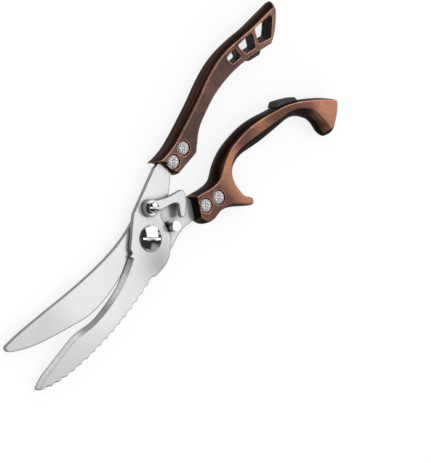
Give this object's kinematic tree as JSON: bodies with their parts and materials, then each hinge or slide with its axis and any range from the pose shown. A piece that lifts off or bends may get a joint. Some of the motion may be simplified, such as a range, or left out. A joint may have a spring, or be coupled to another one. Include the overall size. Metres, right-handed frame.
{
  "type": "poultry shears",
  "caption": "Hinged poultry shears with a serrated and a plain curved blade, cast handles with a prong and hooked tail, and a swinging lock latch.",
  "frame": {"origin": "the middle of the underside of the open shears, in the plane the handles rest on", "axes": "+Z along the pivot towards the screw heads, +X towards the blade tips, +Y from the palm handle towards the finger handle"},
  "size_m": [0.2604, 0.0826, 0.0146],
  "materials": {
    "blade_steel": "satin polished stainless steel",
    "copper_casting": "cast alloy with a brushed antique copper plate, dark in the recesses",
    "pad_rubber": "matt black",
    "rivet_silver": "bright, with a lobed pattern formed in the head",
    "screw_chrome": "mirror polished",
    "spring_steel": "plain spring steel"
  },
  "bodies": {
    "front_half": {"front_blade": "blade_steel", "front_handle": "copper_casting", "front_pad": "pad_rubber", "front_rivets": "rivet_silver", "pivot_screw": "screw_chrome", "pivot_washer": "spring_steel", "pivot_nut": "screw_chrome", "opening_spring": "spring_steel", "latch_screw": "screw_chrome", "latch_washer": "spring_steel", "latch_collar": "screw_chrome"},
    "rear_half": {"rear_blade": "blade_steel", "rear_handle": "copper_casting", "rear_pad": "pad_rubber", "rear_rivets": "rivet_silver", "catch_pin": "screw_chrome"},
    "latch": {"latch_lever": "blade_steel"}
  },
  "joints": [
    {"name": "main_pivot", "type": "hinge", "parent": "front_half", "child": "rear_half", "pos_m": [0.019, 0.00245, 0.006], "axis": [0, 0, 1], "range_deg": [0, 15]},
    {"name": "latch_pivot", "type": "hinge", "parent": "front_half", "child": "latch", "pos_m": [0.0087, -0.01055, 0.01], "axis": [0, 0, 1], "range_deg": [-11.5, 14]}
  ]
}
